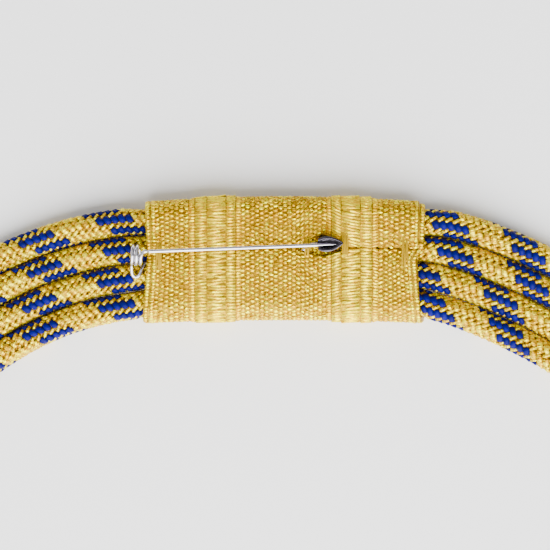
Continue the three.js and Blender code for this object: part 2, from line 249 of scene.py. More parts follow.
@dataclass(frozen=True)
class RayonYarn:
    """Dyed filament rayon, twisted slackly. It is deep and even; the soft satin light along each stitch is painted
    sheen, streaks of the filaments made lighter in the colour, beside a faint real sheen.
    """

    name: str
    bright: str
    middle: str
    shade: str
    roughness: float = 0.46
    specular: float = 0.08
    sheen: float = 0.02
    filament_pitch: float = 0.2  # mm, several real filaments in one, so that they show
    waves_per_unit: float = 3.2  # what the wave texture makes of a scale of 1
    waviness: float = 0.8
    filament_share: float = 0.3  # what the filament streaks add to the stitch's own tone, as painted sheen
    bump: float = 0.4
    bump_depth: float = 0.05  # mm

    def build(self) -> Material:
        """Makes the material, which reads the yarn's own coordinates in the attribute "ply".

        Returns:
            The material.
        """
        material, tree, shader = empty_material(self.name, self.middle)
        ply, tone = yarn_values(tree)
        scale = 1 / self.filament_pitch / self.waves_per_unit
        wave = {"Vector": ply, "Scale": scale, "Distortion": self.waviness, "Detail": 1.0}
        filaments = add_node(tree, "ShaderNodeTexWave", wave, bands_direction="X").outputs["Fac"]
        # painted sheen: the filament streaks lighten the colour
        tone_and_painted_sheen = maths(tree, "MULTIPLY_ADD", filaments, self.filament_share, tone)
        colour = ramp(tree, tone_and_painted_sheen, [(0.05, self.shade), (0.55, self.middle), (1.0, self.bright)])
        look = {"Base Color": colour, "Roughness": self.roughness, "Sheen Weight": self.sheen}
        normal = bumped(tree, filaments, self.bump, self.bump_depth)
        fill_inputs(tree, shader, {**look, "Specular IOR Level": self.specular, "Normal": normal})
        return material


@dataclass(frozen=True)
class LaceGround:
    """The ground between the stitches: the same gilt yarn darkened as painted shade, with its silk showing orange."""

    name: str
    light: str
    dark: str
    metallic: float = 0.7
    roughness: float = 0.55
    thread_pitch: float = 0.4  # mm
    bump: float = 0.5
    bump_depth: float = 0.1  # mm

    def build(self) -> Material:
        """Makes the material from a fine grain of threads.

        Returns:
            The material.
        """
        material, tree, shader = empty_material(self.name, self.light)
        place = add_node(tree, "ShaderNodeTexCoord").outputs["Object"]
        noise = {"Vector": place, "Scale": 1 / (self.thread_pitch * MM), "Detail": 2.0}
        grain = add_node(tree, "ShaderNodeTexNoise", noise).outputs["Fac"]
        colour = ramp(tree, grain, [(0.3, self.dark), (0.7, self.light)])
        look = {"Base Color": colour, "Metallic": self.metallic, "Roughness": self.roughness}
        fill_inputs(tree, shader, {**look, "Normal": bumped(tree, grain, self.bump, self.bump_depth)})
        return material


@dataclass(frozen=True)
class NickelPlate:
    """Nickel on drawn steel wire and pressed sheet. It mirrors its surroundings, with faint smears and wear."""

    name: str = "bright_nickel_plate"
    colour: str = "#d2d0d8"
    roughness: float = 0.1
    best_share: float = 0.7  # of the roughness, where the plate is least worn
    worn: float = 0.2
    smear_pitch: float = 0.9  # mm
    bump: float = 0.04
    bump_depth: float = 0.02  # mm

    def build(self) -> Material:
        """Makes the material.

        Returns:
            The material.
        """
        material, tree, shader = empty_material(self.name, self.colour)
        place = add_node(tree, "ShaderNodeTexCoord").outputs["Object"]
        noise = {"Vector": place, "Scale": 1 / (self.smear_pitch * MM), "Detail": 3.0}
        smears = add_node(tree, "ShaderNodeTexNoise", noise).outputs["Fac"]
        best = self.roughness * self.best_share
        wear = add_node(tree, "ShaderNodeMapRange", {"Value": smears, "To Min": best, "To Max": self.worn}).outputs[0]
        look = {"Base Color": srgb(self.colour), "Metallic": 1.0, "Roughness": wear}
        fill_inputs(tree, shader, {**look, "Normal": bumped(tree, smears, self.bump, self.bump_depth)})
        return material


@dataclass(frozen=True)
class Finishes:
    """The finished materials of the whole piece."""

    gold_yarn: Material
    blue_yarn: Material
    cord_core: Material
    lace_yarn: Material
    bar_yarn: Material
    lace_ground: Material
    tack_thread: Material
    nickel: Material
    head_nickel_painted_dark: Material

    @staticmethod
    def build() -> "Finishes":
        """Makes every material once.

        Returns:
            The set of materials.
        """
        return Finishes(
            gold_yarn=MetallicYarn("gilt_strip_on_silk_braid", "#fff000", "#e4b000", "#986c00", metallic=0.7).build(),
            blue_yarn=RayonYarn("royal_blue_filament_rayon", "#0a067c", "#07045a", "#030228").build(),
            # painted shade: the braid's dark core shows between the stitches
            cord_core=LaceGround("braid_ground_in_shade", "#b08000", "#6c4800").build(),
            lace_yarn=MetallicYarn(
                "pale_gilt_woven_lace", "#fff400", "#ecb800", "#ac8000", metallic=0.95, roughness=0.42
            ).build(),
            bar_yarn=MetallicYarn(
                "pale_gilt_ribbed_lace", "#ffec00", "#fcd400", "#d8a400", metallic=0.92, roughness=0.5, bump=0.5
            ).build(),
            # painted shade: the lace's darker ground shows between the knots and ribs
            lace_ground=LaceGround("gilt_lace_ground_in_painted_shade", "#b89200", "#806400", metallic=0.9).build(),
            tack_thread=RayonYarn("yellow_polyester_sewing_thread", "#b49000", "#ae8a00", "#a68400").build(),
            nickel=NickelPlate().build(),
            # painted reflection: the head's plate is given a dark grey colour for the dark surroundings it mirrors
            head_nickel_painted_dark=NickelPlate("nickel_plate_painted_dark_reflection", "#504c54", 0.07).build(),
        )


class BeadShape(Enum):
    """What one stitch is made from before it is bent into place."""

    LEAF = "leaf"
    SLAB = "slab"


@dataclass
class StitchField:
    """Many equal stitches on a flat strip, made by one Geometry Nodes tree.

    Flat coordinates are millimetres: X along the strip, Y across it and Z out of its surface.
    """

    name: str
    length: float
    width: float
    height: float
    lean: float  # degrees from Y towards X
    shape: BeadShape = BeadShape.LEAF
    segments: int = 5
    rings: int = 4
    fullness: float = 0.5  # 0 keeps the bead's round ends, 1 makes them square
    uneven: float = 0.06
    wobble: tuple = (0.06, 0.12, 0.13)  # radians each way, about X, Y and Z
    seed: int = 3

    def bead(self, tree: NodeTree) -> NodeSocket:
        """Makes one stitch.

        Args:
            tree: The tree.

        Returns:
            The bead, 1 across.
        """
        if self.shape is BeadShape.LEAF:
            ball = {"Segments": self.segments, "Rings": self.rings, "Radius": 0.5}
            return self.filled_out(tree, add_node(tree, "GeometryNodeMeshUVSphere", ball).outputs["Mesh"])
        rod = {"Vertices": 6, "Side Segments": 1, "Radius": 0.5, "Depth": 1.0}
        made = add_node(tree, "GeometryNodeMeshCylinder", rod).outputs["Mesh"]
        lying = {"Geometry": made, "Rotation": (math.pi / 2, 0, math.pi / 2)}
        return add_node(tree, "GeometryNodeTransform", lying).outputs[0]

    def tree(self) -> NodeTree:
        """Builds the tree: a bead on every point, turned, made a little uneven, realised and given its material.

        Returns:
            The tree, with named inputs for its sizes.
        """
        tree = bpy.data.node_groups.new(self.name, "GeometryNodeTree")
        sizes = dict.fromkeys(("Stitch length", "Stitch width", "Stitch height", "Lean", "Unevenness"), "Float")
        for label, kind in {"Geometry": "Geometry", **sizes, "Seed": "Int", "Material": "Material"}.items():
            tree.interface.new_socket(label, in_out="INPUT", socket_type="NodeSocket" + kind)
        tree.interface.new_socket("Geometry", in_out="OUTPUT", socket_type="NodeSocketGeometry")
        given = tree.nodes.new("NodeGroupInput").outputs
        bead = self.bead(tree)
        size = add_node(
            tree,
            "ShaderNodeCombineXYZ",
            {0: given["Stitch width"], 1: given["Stitch height"], 2: given["Stitch length"]},
        ).outputs[0]
        sized = add_node(tree, "GeometryNodeTransform", {"Geometry": bead, "Scale": size}).outputs[0]
        laid = add_node(tree, "GeometryNodeTransform", {"Geometry": sized, "Rotation": (-math.pi / 2, 0, 0)}).outputs[0]
        where = add_node(tree, "GeometryNodeInputPosition").outputs[0]
        marked = add_node(
            tree,
            "GeometryNodeStoreNamedAttribute",
            {"Geometry": laid, "Name": "ply", "Value": where},
            data_type="FLOAT_VECTOR",
            domain="POINT",
        ).outputs[0]
        wobble = add_node(
            tree,
            "FunctionNodeRandomValue",
            {"Min": tuple(-angle for angle in self.wobble), "Max": self.wobble, "Seed": given["Seed"]},
            data_type="FLOAT_VECTOR",
        ).outputs[0]
        leaning = add_node(tree, "ShaderNodeCombineXYZ", {2: given["Lean"]}).outputs[0]
        turned = maths(tree, "ADD", wobble, leaning, vector=True)
        low, high = (maths(tree, way, 1.0, given["Unevenness"]) for way in ("SUBTRACT", "ADD"))
        girth = add_node(
            tree, "FunctionNodeRandomValue", {2: low, 3: high, "Seed": given["Seed"]}, data_type="FLOAT"
        ).outputs[1]
        instances = add_node(
            tree,
            "GeometryNodeInstanceOnPoints",
            {"Points": given["Geometry"], "Instance": marked, "Rotation": turned, "Scale": girth},
        ).outputs[0]
        solid = add_node(tree, "GeometryNodeRealizeInstances", {"Geometry": instances}).outputs[0]
        dressed = {"Geometry": solid, "Material": given["Material"]}
        done = add_node(tree, "GeometryNodeSetMaterial", dressed).outputs[0]
        add_node(tree, "NodeGroupOutput", {"Geometry": done})
        return tree

    def filled_out(self, tree: NodeTree, bead: NodeSocket) -> NodeSocket:
        """Widens a round bead towards its ends, so that neighbouring stitches lie close.

        Args:
            tree: The tree.
            bead: The round bead, 1 across.

        Returns:
            The fuller bead.
        """
        where = add_node(tree, "GeometryNodeInputPosition").outputs[0]
        flat = maths(tree, "MULTIPLY", where, (2.0, 2.0, 0.0), vector=True)
        reach = add_node(tree, "ShaderNodeVectorMath", {0: flat}, operation="LENGTH").outputs["Value"]
        factor = maths(tree, "POWER", maths(tree, "MAXIMUM", reach, 0.05), -self.fullness)
        wide = add_node(tree, "ShaderNodeCombineXYZ", {0: factor, 1: factor, 2: 1.0}).outputs[0]
        moved = maths(tree, "MULTIPLY", where, wide, vector=True)
        return add_node(tree, "GeometryNodeSetPosition", {"Geometry": bead, "Position": moved}).outputs[0]

    def build(self, places: np.ndarray, tones: np.ndarray, material: Material) -> Mesh:
        """Puts a stitch on each place and turns the result into a plain mesh.

        Args:
            places: The flat places, one row each.
            tones: How bright each stitch is, from 0 to 1.
            material: The yarn's material.

        Returns:
            A flat mesh in millimetres, with the attributes "ply" and "tone".
        """
        points = bpy.data.meshes.new(self.name + "_places")
        points.from_pydata(places.tolist(), [], [])
        points.attributes.new("tone", "FLOAT", "POINT").data.foreach_set("value", tones.astype(np.float32))
        tree = self.tree()
        values = {
            "Stitch length": self.length,
            "Stitch width": self.width,
            "Stitch height": self.height,
            "Lean": -math.radians(self.lean),
            "Unevenness": self.uneven,
            "Seed": self.seed,
            "Material": material,
        }
        result = with_modifier(points, "NODES", values, node_group=tree)
        bpy.data.node_groups.remove(tree)
        return result


def with_modifier(mesh: Mesh, kind: str, inputs: dict | None = None, **settings: Any) -> Mesh:
    """Applies one modifier to a mesh and removes what it was made from.

    Args:
        mesh: The mesh.
        kind: The modifier's type name.
        inputs: Values for the named inputs of a Geometry Nodes tree.
        **settings: The modifier's own options.

    Returns:
        The new mesh.
    """
    holder = placed(mesh.name, mesh)
    modifier = holder.modifiers.new(kind.lower(), kind)
    for name, value in settings.items():
        setattr(modifier, name, value)
    for socket in modifier.node_group.interface.items_tree if inputs else ():
        if socket.item_type == "SOCKET" and socket.in_out == "INPUT" and socket.name in inputs:
            modifier[socket.identifier] = inputs[socket.name]
    bpy.context.view_layer.update()
    result = bpy.data.meshes.new_from_object(holder.evaluated_get(bpy.context.evaluated_depsgraph_get()))
    holder.modifiers.remove(modifier)
    bpy.data.objects.remove(holder)
    bpy.data.meshes.remove(mesh)
    return result


def placed(name: str, data: ID) -> Object:
    """Puts a new object into the scene.

    Args:
        name: Its name.
        data: Its mesh, light or camera.

    Returns:
        The object.
    """
    made = bpy.data.objects.new(name, data)
    bpy.context.scene.collection.objects.link(made)
    return made


def move_points(mesh: Mesh, moved: Callable[[np.ndarray], np.ndarray]) -> None:
    """Moves every vertex of a mesh.

    Args:
        mesh: The mesh to bend.
        moved: Turns an array of places into an array of new places.
    """
    places = np.empty(len(mesh.vertices) * 3)
    mesh.vertices.foreach_get("co", places)
    mesh.vertices.foreach_set("co", moved(places.reshape(-1, 3)).ravel())
    mesh.update()


def eased(value: np.ndarray | float, low: float, high: float) -> np.ndarray | float:
    """Goes from 0 to 1 between two values, flat at both ends.

    Args:
        value: The value or values.
        low: Where the way begins.
        high: Where it ends.

    Returns:
        The share of the way.
    """
    share = np.clip((value - low) / (high - low), 0, 1)
    return share * share * (3 - 2 * share)


def above_table(places: np.ndarray, soft: float = 0.1) -> np.ndarray:
    """Presses what would sink into the table onto it, as the lowest threads of a lying piece are.

    Args:
        places: Places in millimetres.
        soft: The height below which threads give way.

    Returns:
        The same places, all above the table.
    """
    height = places[:, 2]
    pressed = soft * np.exp(np.minimum(height, soft) / soft - 1)
    return np.column_stack([places[:, :2], np.where(height < soft, pressed, height)])


def grid_mesh(name: str, rings: np.ndarray) -> Mesh:
    """Makes a tube with flat ends through rings of points.

    Args:
        name: The mesh's name.
        rings: Places in metres, as rings by points by 3.

    Returns:
        The mesh.
    """
    count, sides = rings.shape[:2]
    faces = []
    for a in range(0, (count - 1) * sides, sides):
        b = a + sides
        faces += [(a + i, a + (i + 1) % sides, b + (i + 1) % sides, b + i) for i in range(sides)]
    faces.append(tuple(reversed(range(sides))))
    faces.append(tuple(range((count - 1) * sides, count * sides)))
    mesh = bpy.data.meshes.new(name)
    mesh.from_pydata(rings.reshape(-1, 3).tolist(), [], faces)
    mesh.update()
    return mesh


def tube_rings(path: np.ndarray, radii: np.ndarray, sides: int) -> np.ndarray:
    """Rings of points round a path, carried along it without twist.

    Args:
        path: Places along the middle.
        radii: The radius at each place.
        sides: Points in a ring.

    Returns:
        The rings, as rings by points by 3.
    """
    along = np.gradient(path, axis=0)
    along /= np.linalg.norm(along, axis=1)[:, None]
    side = np.cross(along[0], UP)
    turns = np.arange(sides) / sides * 2 * math.pi
    rings = []
    for place, ahead, radius in zip(path, along, radii):
        side = side - ahead * np.dot(side, ahead)
        side /= np.linalg.norm(side)
        up = np.cross(ahead, side)
        rings.append(place + radius * (np.cos(turns)[:, None] * side + np.sin(turns)[:, None] * up))
    return np.array(rings)


def make_piece(
    name: str, meshes: list[Mesh], materials: list[Material], body: str = BODY
) -> Object:
    """Joins meshes into one smooth piece that rides on a body.

    Args:
        name: The piece's name.
        meshes: The meshes in metres, each of one material.
        materials: The material of each mesh.
        body: The body that the piece moves with.

    Returns:
        The new object.
    """
    slots = list(dict.fromkeys(materials))
    joined = bmesh.new()
    for mesh, material in zip(meshes, materials):
        mesh.polygons.foreach_set("material_index", [slots.index(material)] * len(mesh.polygons))
        mesh.polygons.foreach_set("use_smooth", [True] * len(mesh.polygons))
        joined.from_mesh(mesh)
    result = bpy.data.meshes.new(name)
    for material in slots:
        result.materials.append(material)
    joined.to_mesh(result)
    joined.free()
    for mesh in meshes:
        bpy.data.meshes.remove(mesh)
    piece = placed(name, result)
    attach(piece, body)
    return piece


@dataclass
class LoopRoute:
    """The way the bundle of cords takes round the loops, as arcs, in millimetres."""

    lace_half: float = 25.6
    band_bend: float = 420.0
    left_shoulders: tuple = ((62.0, 32.0),)  # radius and end heading in degrees
    right_shoulders: tuple = ((18.0, 14.0), (60.0, 21.0))
    left_side: float = 118.0
    side_end: float = 115.0  # degrees
    cord_diameter: float = 5.05
    squeezed_diameter: float = 4.8  # inside the band
    cord_gap: float = 0.3
    cord_sides: int = 12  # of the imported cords
    end_gap: float = 0.4  # between a loop's cut ends
    looseness: float = 1.6  # how much wider the gaps are on the far side of the loops
    swell: float = 4.0  # the way over which a cord gets its full thickness outside the band
    settle: float = 26.0  # the way over which it comes down to the table
    trace_step: float = 0.5

    def __post_init__(self) -> None:
        """Works out the arcs of both halves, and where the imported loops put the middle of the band."""
        self.flat_share = math.cos(math.pi / self.cord_sides)
        self.band_height = RIB_RISE + LACE_WALL + LACE_CLEARANCE + self.squeezed_diameter / 2 * self.flat_share
        self.pitch_band = self.squeezed_diameter * self.flat_share + self.cord_gap
        self.pitch_free = self.cord_diameter * self.flat_share + self.cord_gap
        left = self.arcs(self.left_shoulders, self.left_side)
        flat, sharp = (self.depth(self.arcs(self.right_shoulders, r)) for r in (0.0, self.left_side))
        right_side = self.left_side * (self.depth(left) - flat) / (sharp - flat)
        self.halves = {-1: left, 1: self.arcs(self.right_shoulders, right_side)}
        self.shift = np.zeros(2)
        low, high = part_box("cord_loop_4")
        middle, normal, radius = self.trace(OUTERMOST)[1:4]
        outside = middle[:, :2] + normal[:, :2] * radius[:, None]
        inside = middle[:, :2] - normal[:, :2] * radius[:, None]
        both = np.vstack([outside, inside])
        packed = np.array([(low.x + high.x) / 2, (low.y + high.y) / 2]) / MM
        self.shift = packed - (both.min(0) + both.max(0)) / 2

    def arcs(self, shoulders: tuple, side: float) -> list[tuple[float, float, float]]:
        """The arcs of one half.

        Args:
            shoulders: Radius and end heading in degrees of each arc next to the band.
            side: The radius of the long side.

        Returns:
            Radius, first heading and last heading of each arc, in radians.
        """
        rows = [(self.band_bend, math.degrees(math.asin(self.lace_half / self.band_bend))), *shoulders]
        rows.append((side, self.side_end))
        made, start = [], 0.0
        for radius, end in rows:
            made.append((radius, start, math.radians(end)))
            start = math.radians(end)
        reach = sum(r * (math.sin(b) - math.sin(a)) for r, a, b in made)
        made.append((reach / math.sin(start), start, math.pi))
        return made

    @staticmethod
    def depth(arcs: list[tuple[float, float, float]]) -> float:
        """How far the arcs reach away from the band."""
        return sum(r * (math.cos(a) - math.cos(b)) for r, a, b in arcs)

    @staticmethod
    def length(arcs: list[tuple[float, float, float]]) -> float:
        """The arcs' length."""
        return sum(r * (b - a) for r, a, b in arcs)

    def middle_line(self, along: np.ndarray, half: int) -> tuple[np.ndarray, np.ndarray]:
        """The bundle's middle at distances from the middle of the band.

        Args:
            along: The distances.
            half: 1 for the half on the side of the pin's head, -1 for the other.

        Returns:
            Places and headings. A heading is positive where the bundle has turned off clockwise.
        """
        x, y = np.zeros_like(along), np.zeros_like(along)
        heading = np.zeros_like(along)
        rest = along.copy()
        arcs = self.halves[half]
        for k, (radius, a, b) in enumerate(arcs):
            run = radius * (b - a)
            inside = np.clip(rest, 0, None if k == len(arcs) - 1 else run)
            turn = a + inside / radius
            x += radius * (np.sin(turn) - math.sin(a))
            y -= radius * (math.cos(a) - np.cos(turn))
            heading = np.where(rest > 0, turn, heading)
            rest = rest - run
        return np.stack([half * x + self.shift[0], y + self.shift[1]], axis=1), half * heading

    def across(self, x: float) -> float:
        """Where the bundle's middle lies across the band at a place along it."""
        return self.middle_line(np.array([abs(x)]), 1 if x >= 0 else -1)[0][0, 1]

    def trace(self, side: float) -> tuple[np.ndarray, ...]:
        """Follows one cord from its cut end in the band round to the other.

        Args:
            side: OUTERMOST for the outermost cord and as much below zero for the innermost.

        Returns:
            Distance along the cord, places, outward normals and radii.
        """
        places, normals, radii = [], [], []
        for half in (1, -1):
            whole = self.length(self.halves[half])
            along = np.linspace(self.end_gap / 2, whole, int(whole / self.trace_step))
            middle, heading = self.middle_line(along, half)
            swollen = eased(along, self.lace_half, self.lace_half + self.swell)
            settled = eased(along, self.lace_half, self.lace_half + self.settle)
            loose = eased(along, self.lace_half + self.settle, whole)
            offset = side * (self.pitch_band + (self.pitch_free - self.pitch_band) * swollen + self.looseness * loose)
            out = np.stack([np.sin(heading), np.cos(heading), np.zeros_like(heading)], axis=1)
            height = self.band_height + (self.cord_diameter / 2 * self.flat_share - self.band_height) * settled
            place = np.column_stack([middle + out[:, :2] * offset[:, None], height])
            radius = (self.squeezed_diameter + (self.cord_diameter - self.squeezed_diameter) * swollen) / 2
            order = slice(None) if half == 1 else slice(-2, None, -1)
            places.append(place[order])
            normals.append(out[order])
            radii.append(radius[order])
        place, normal, radius = np.vstack(places), np.vstack(normals), np.concatenate(radii)
        run = np.concatenate([[0.0], np.cumsum(np.linalg.norm(np.diff(place, axis=0), axis=1))])
        return run, place, normal, radius


@dataclass(frozen=True)
class FleckPhase:
    """Where one blue fleck lies on each side of the band.

    Each side has its place from the band's middle in millimetres, and how far round the cord it is, in degrees from
    the top towards the inside of the loop.
    """

    right: tuple[float, float, float]
    left: tuple[float, float, float]


@dataclass
class BraidedCord:
    """One loop of round braid: long leaning stitches in six columns, with short gold ones in the notches between."""

    route: LoopRoute
    finishes: Finishes
    node: str
    side: float
    phase: FleckPhase
    columns: int = 6
    pitch: float = 1.364
    period_stitches: int = 11
    fleck_stitches: int = 5
    stitch_length: float = 2.25
    fleck_stitch_length: float = 2.02
    stitch_width: float = 1.44
    stitch_height: float = 0.74
    stitch_fullness: float = 0.68
    lean: float = 27.0
    notch_length: float = 2.1
    notch_width: float = 1.0
    notch_height: float = 0.9
    notch_lean: float = -38.0
    notch_sink: float = 0.02
    plump: float = 0.12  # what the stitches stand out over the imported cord, so that neighbouring cords touch
    period_right: float = 15.3  # from one blue fleck to the next, on each side of the band
    period_left: float = 14.7
    bare_end: float = 0.5  # how much of each cut end has no stitches
    core_sink: float = 0.62
    core_sides: int = 12
    core_step: int = 4  # places along the cord from one ring of the core to the next
    gold_tones: tuple = (0.1, 0.9)
    blue_tones: tuple = (0.3, 0.6)
    notch_tones: tuple = (0.3, 1.0)
    seed: int = 11

    def along_from(self, place: tuple[float, float, float], run: np.ndarray, middle: np.ndarray) -> float:
        """The distance along the cord at which it passes nearest to a place.

        Args:
            place: Where the fleck lies from the band's middle, and how far round the cord it is.
            run: Distances along the cord.
            middle: The cord's middle at those distances.

        Returns:
            The distance.
        """
        target = np.array(place[:2]) + self.route.shift
        apart = np.linalg.norm(middle[:, :2] - target, axis=1)
        return float(run[int(np.argmin(apart))])

    def build(self) -> Object:
        """Makes the flat braid, bends it round the loop and puts it over its core.

        Returns:
            The finished loop.
        """
        run, middle, normal, radius = self.route.trace(self.side)
        start = self.along_from(self.phase.right, run, middle)
        stop = self.along_from(self.phase.left, run, middle)
        period = self.period_stitches * self.pitch
        periods = round((stop - start) / ((self.period_right + self.period_left) / 2))
        mean = (stop - start) / (periods * period)
        curve = (self.period_left - self.period_right) / period / (2 * periods * period)
        span = periods * period

        def along(flat: np.ndarray) -> np.ndarray:
            """Distance along the cord of a distance along the flat braid, which has uneven tension."""
            return start + mean * flat + curve * flat * (flat - span)

        def turn(flat: np.ndarray) -> np.ndarray:
            """How far the columns have turned round the cord there."""
            right, left = self.phase.right[2], self.phase.left[2]
            return np.radians(right + (left - right) * np.clip(flat / span, 0, 1))

        girth = self.route.cord_diameter * math.pi
        column_step = girth / self.columns

        def wrapped(flat: np.ndarray) -> np.ndarray:
            """Wraps the flat braid round the cord.

            Args:
                flat: Places on the flat braid in millimetres.

            Returns:
                Places on the cord in metres.
            """
            here = along(flat[:, 0])
            round_cord = flat[:, 1] / girth * 2 * math.pi + turn(flat[:, 0])
            reach = np.interp(here, run, radius) + flat[:, 2] + self.plump
            centre = np.stack([np.interp(here, run, middle[:, k]) for k in range(3)], axis=1)
            out = np.stack([np.interp(here, run, normal[:, k]) for k in range(3)], axis=1)
            outwards = np.cos(round_cord)[:, None] * UP - np.sin(round_cord)[:, None] * out
            return above_table(centre + reach[:, None] * outwards) * MM

        reach_back = int(start / self.pitch) + 3 * self.period_stitches
        count = int(run[-1] / self.pitch / mean) + 6 * self.period_stitches
        rows = np.arange(-reach_back, count)
        rng = np.random.default_rng(self.seed + int(self.side * 2))
        gold, blue, notch = [], [], []
        for column in range(self.columns):
            place = rows * self.pitch + column * period / self.columns
            centred = (rows + self.fleck_stitches // 2) % self.period_stitches
            for x, rank in zip(place, centred):
                target = blue if rank < self.fleck_stitches else gold
                target.append((x, column * column_step, -self.stitch_height / 2))
                between = x + 0.5 * self.pitch + period / self.columns / 2
                notch.append((between, (column + 0.5) * column_step, -self.notch_height / 2 - self.notch_sink))

        def kept(places: list) -> np.ndarray:
            """Leaves out the places beyond the cord's cut ends.

            Args:
                places: Places on the flat braid.

            Returns:
                Those that are on the cord.
            """
            table = np.array(places)
            here = along(table[:, 0])
            return table[(here > self.bare_end) & (here < run[-1] - self.bare_end)]

        long_stitch = StitchField(
            self.node + "_stitches",
            self.stitch_length,
            self.stitch_width,
            self.stitch_height,
            self.lean,
            fullness=self.stitch_fullness,
        )
        blue_stitch = replace(long_stitch, name=self.node + "_flecks", length=self.fleck_stitch_length)
        short_stitch = StitchField(
            self.node + "_notches",
            self.notch_length,
            self.notch_width,
            self.notch_height,
            self.notch_lean,
            segments=4,
            rings=3,
            seed=5,
        )
        meshes = []
        for yarn, places, material, tones in (
            (long_stitch, kept(gold), self.finishes.gold_yarn, self.gold_tones),
            (blue_stitch, kept(blue), self.finishes.blue_yarn, self.blue_tones),
            (short_stitch, kept(notch), self.finishes.gold_yarn, self.notch_tones),
        ):
            flat = yarn.build(places, rng.uniform(*tones, len(places)), material)
            move_points(flat, wrapped)
            meshes.append(flat)
        # the core, in painted shade, shows dark in the gaps between the stitches
        picks = np.arange(0, len(run), self.core_step)
        turns = np.arange(self.core_sides) / self.core_sides * 2 * math.pi
        core_radius = radius[picks] - self.core_sink
        rings = middle[picks][:, None] + core_radius[:, None, None] * (
            np.cos(turns)[None, :, None] * normal[picks][:, None] + np.sin(turns)[None, :, None] * UP
        )
        meshes.append(grid_mesh(self.node + "_core", rings * MM))
        piece = make_piece(
            "braid_" + self.node[-6:],
            meshes,
            [self.finishes.gold_yarn, self.finishes.blue_yarn, self.finishes.gold_yarn, self.finishes.cord_core],
        )
        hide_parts(self.node)
        return piece


